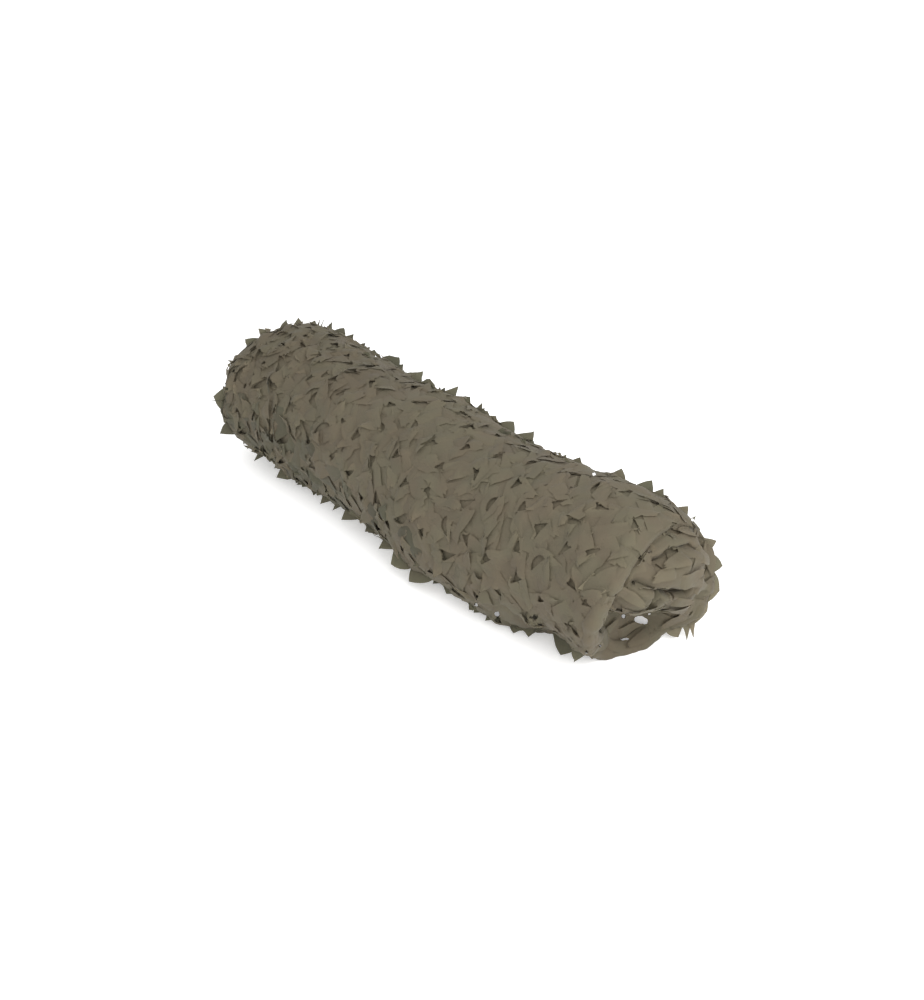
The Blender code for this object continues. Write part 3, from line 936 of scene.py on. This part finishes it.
def hem_band(material):
    """The folded edge of the outer turn, a half-round band of cloth."""
    rows, columns = HEM_STEPS
    turn = np.radians(np.linspace(*HEM_TURNS, rows))[:, None]
    arc = np.radians(np.linspace(*HEM_ARC, columns))[None, :]
    from_end = np.minimum(np.arange(rows), np.arange(rows)[::-1])[:, None]
    thinner = HEM_END_SIZE + (1 - HEM_END_SIZE) * smooth_step(from_end / HEM_END_STEPS)
    wave = HEM_WAVE * np.sin(9 * turn) + HEM_RIPPLE * np.sin(23 * turn + 1)
    radius = (HEM_RADIUS + wave) * thinner
    x = rim_at(turn) - HEM_BACK + radius * np.cos(arc)
    share = 1 - (HEM_UNDER - radius * np.sin(arc)) / (ROLL_WIDTH / 2)
    y, z = section_point(x, share, turn + 0 * arc)
    points = np.stack([x, y, z], axis=-1).reshape(-1, 3) + (*OFF_MIDDLE, 0)
    points[:, 2] = np.maximum(points[:, 2], HEM_FLOOR_Z)
    faces = strip_faces(1, rows, columns)
    cloth_piece("hem", points, faces, seen_through(points), HEM_TINT, material)


def lower_turn(base, normals, triangles, weights, material, rng):
    """The turn of net under the outer one."""
    points = base - normals * LOWER_DEPTH
    points[:, 2] = np.maximum(points[:, 2], LOWER_FLOOR_Z)
    inside, rise = gap_fields(points, place_gaps(GAPS["net_lower"], points, normals, weights, rng))
    points = points + normals * rise[:, None] * LOWER_RISE
    inside = np.minimum(inside, seen_through(points, LOWER_WIDER))
    # Painted shade: a little darker than the upper turn
    cloth_piece("net_lower", points, triangles, inside, LOWER_SHADE_TINT, material)


def upper_gaps(base, normals, weights, rng):
    """The outer turn's gaps: more on the far part, and on the open end mostly its own."""
    sparse = weights * (1 - END_GAPS_LEFT_OUT * eased(normals[:, 0], OPEN_END))
    parts = (
        place_gaps(GAPS["net_upper"], base, normals, sparse, rng),
        place_gaps(GAPS["far_end"], base, normals, weights * (base[:, 0] < FAR_GAPS_X), rng),
        end_gaps(base, normals),
    )
    return {key: np.concatenate([part[key] for part in parts]) for key in parts[0]}


def upper_turn(base, normals, triangles, gaps, material):
    """The outer turn of net. It gives back the places of the leaves' roots."""
    inside, rise = gap_fields(base, gaps)
    roots = base + normals * rise[:, None]
    points = roots - normals * UPPER_DEPTH
    points[:, 2] = np.maximum(points[:, 2], 0.0)
    inside = np.minimum(inside, seen_through(points))
    cloth_piece("net_upper", points, triangles, inside, UPPER_TINT, material)
    return roots


def inner_core(material):
    """The plain form inside, which keeps the roll opaque and takes the solid's place."""
    points, triangles = wound_cloth(**CORE_STEPS, walled=False)
    normals, _ = surface(points, triangles)
    points = points + normals * (stand_off(points, normals) - CORE_DEPTH)[:, None]
    points[:, 2] = np.maximum(points[:, 2], CORE_FLOOR_Z)
    # Painted shade: the core takes the lower turn's darker tint
    cut = cut_open(points, triangles, seen_through(points, CORE_WIDER), LOWER_SHADE_TINT)
    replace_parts(mesh_piece("wound_core", *cut, material), "net_roll")


def set_inputs(node, values):
    for name, value in values.items():
        node.inputs[name].default_value = value
    return node


def noise(tree, place, sizes):
    node = set_inputs(tree.nodes.new("ShaderNodeTexNoise"), sizes)
    tree.links.new(place, node.inputs["Vector"])
    return node.outputs["Fac"]


def coloured(tree, value, stops):
    """The value turned into a colour by its stops."""
    node = tree.nodes.new("ShaderNodeValToRGB")
    ramp = node.color_ramp.elements
    ramp[0].position, ramp[1].position = stops[0]["at"], stops[-1]["at"]
    for stop in stops[1:-1]:
        ramp.new(stop["at"])
    for element, stop in zip(ramp, stops):
        element.color = (*stop["colour"], 1)
    tree.links.new(value, node.inputs["Fac"])
    return node.outputs["Color"]


def multiplied(tree, colour, by, share):
    node = tree.nodes.new("ShaderNodeMix")
    node.data_type = "RGBA"
    node.blend_type = "MULTIPLY"
    set_inputs(node, {"Factor": share})
    tree.links.new(colour, node.inputs["A"])
    tree.links.new(by, node.inputs["B"])
    return node.outputs["Result"]


def bumped(tree, height, sizes, normal=None):
    """The surface's normal, or the one that is given, with small bumps on it."""
    node = set_inputs(tree.nodes.new("ShaderNodeBump"), sizes)
    tree.links.new(height, node.inputs["Height"])
    if normal is not None:
        tree.links.new(normal, node.inputs["Normal"])
    return node.outputs["Normal"]


def cloth_colour(tree, place):
    """Each leaf's own colour, a little clouded, in warmer and greener patches."""
    tint = tree.nodes.new("ShaderNodeAttribute")
    tint.attribute_name = "tint"
    leaves = coloured(tree, tint.outputs["Fac"], LEAF_COLOURS)
    clouded = multiplied(tree, leaves, noise(tree, place, CLOUDS), CLOUD_SHARE)
    patches = coloured(tree, noise(tree, place, PATCHES), PATCH_COLOURS)
    return multiplied(tree, clouded, patches, PATCH_SHARE)


def light_through(tree, colour, normal):
    """The light that comes through the thin cloth."""
    brighter = tree.nodes.new("ShaderNodeVectorMath")
    brighter.operation = "SCALE"
    set_inputs(brighter, {"Scale": THIN_BRIGHTER})
    tree.links.new(colour, brighter.inputs[0])
    through = tree.nodes.new("ShaderNodeBsdfTranslucent")
    tree.links.new(brighter.outputs["Vector"], through.inputs["Color"])
    tree.links.new(normal, through.inputs["Normal"])
    return through.outputs["BSDF"]


def cloth_material():
    """Thin, matt woven polyester with soft creases, whose leaves differ in colour."""
    material = bpy.data.materials.new("leaf_cloth")
    material.use_nodes = True
    tree = material.node_tree
    place = tree.nodes.new("ShaderNodeTexCoord").outputs["Object"]
    colour = cloth_colour(tree, place)
    creased = bumped(tree, noise(tree, place, CRUMPLES), CRUMPLE_BUMP)
    woven = bumped(tree, noise(tree, place, WEAVE), WEAVE_BUMP, creased)
    shader = set_inputs(tree.nodes["Principled BSDF"], CLOTH_LOOK)
    tree.links.new(colour, shader.inputs["Base Color"])
    tree.links.new(woven, shader.inputs["Normal"])
    thin = set_inputs(tree.nodes.new("ShaderNodeMixShader"), {"Fac": THIN_SHARE})
    tree.links.new(shader.outputs["BSDF"], thin.inputs[1])
    tree.links.new(light_through(tree, colour, woven), thin.inputs[2])
    tree.links.new(thin.outputs["Shader"], tree.nodes["Material Output"].inputs["Surface"])
    return material


def white_floor():
    """A white floor that glows a little."""
    bpy.ops.mesh.primitive_plane_add(size=FLOOR_SIZE, location=(0, 0, FLOOR_Z))
    floor = bpy.context.object
    floor.name = "floor"
    material = bpy.data.materials.new("white_floor")
    material.use_nodes = True
    set_inputs(material.node_tree.nodes["Principled BSDF"], FLOOR_LOOK)
    floor.data.materials.append(material)


def room_and_light():
    """White surroundings, and a broad soft light on the camera's side."""
    world = bpy.data.worlds.new("white_room")
    world.use_nodes = True
    set_inputs(world.node_tree.nodes["Background"], ROOM_LOOK)
    bpy.context.scene.world = world

    data = bpy.data.lights.new("soft_light", "AREA")
    data.shape = "DISK"
    data.size = LIGHT_SIZE
    data.energy = LIGHT_POWER
    light = bpy.data.objects.new("soft_light", data)
    light.location = LIGHT_PLACE
    light.rotation_euler = (Vector(LIGHT_AIM) - light.location).to_track_quat("-Z", "Y").to_euler()
    bpy.context.scene.collection.objects.link(light)


def camera_back():
    """The direction from the roll to the camera."""
    turn, rise = math.radians(CAMERA_TURN), math.radians(CAMERA_RISE)
    return Vector((math.sin(turn) * math.cos(rise), -math.cos(turn) * math.cos(rise), math.sin(rise)))


def camera_place():
    return Vector((0, 0, AIM_HEIGHT)) + camera_back() * CAMERA_DISTANCE


def make_camera():
    data = bpy.data.cameras.new("camera")
    data.sensor_fit = "VERTICAL"
    data.sensor_height = FILM_HEIGHT
    data.lens = FILM_HEIGHT * FOCAL_PIXELS / PICTURE_HEIGHT
    data.shift_x = -AIM_OFF_X / PICTURE_HEIGHT
    data.shift_y = AIM_OFF_Y / PICTURE_HEIGHT
    data.clip_end = 100
    camera = bpy.data.objects.new("camera", data)
    camera.location = camera_place()
    camera.rotation_euler = (-camera_back()).to_track_quat("-Z", "Y").to_euler()
    bpy.context.scene.collection.objects.link(camera)
    bpy.context.scene.camera = camera


def main():
    rng = np.random.default_rng(SEED)
    material = cloth_material()
    points, triangles = wound_cloth(**STEPS)
    normals, areas = surface(points, triangles)
    weights = areas * open_places(points)
    base = points + normals * stand_off(points, normals)[:, None]

    lower_turn(base, normals, triangles, weights, material, rng)
    gaps = upper_gaps(base, normals, weights, rng)
    roots = upper_turn(base, normals, triangles, gaps, material)
    tree = BVHTree.FromPolygons(roots.tolist(), triangles.tolist())
    normals, _ = surface(roots, triangles)
    cloth = {"points": roots, "normals": normals, "weights": weights, "tree": tree}
    for kind in as_rows(LEAVES):
        leaf_layer(kind, cloth, gaps, material, rng)
    standing_leaves(tree, material, rng)
    hem_band(material)
    end_leaves(tree, material, rng)
    inner_core(material)

    white_floor()
    room_and_light()
    make_camera()
    bpy.context.scene.view_settings.view_transform = "Standard"


main()
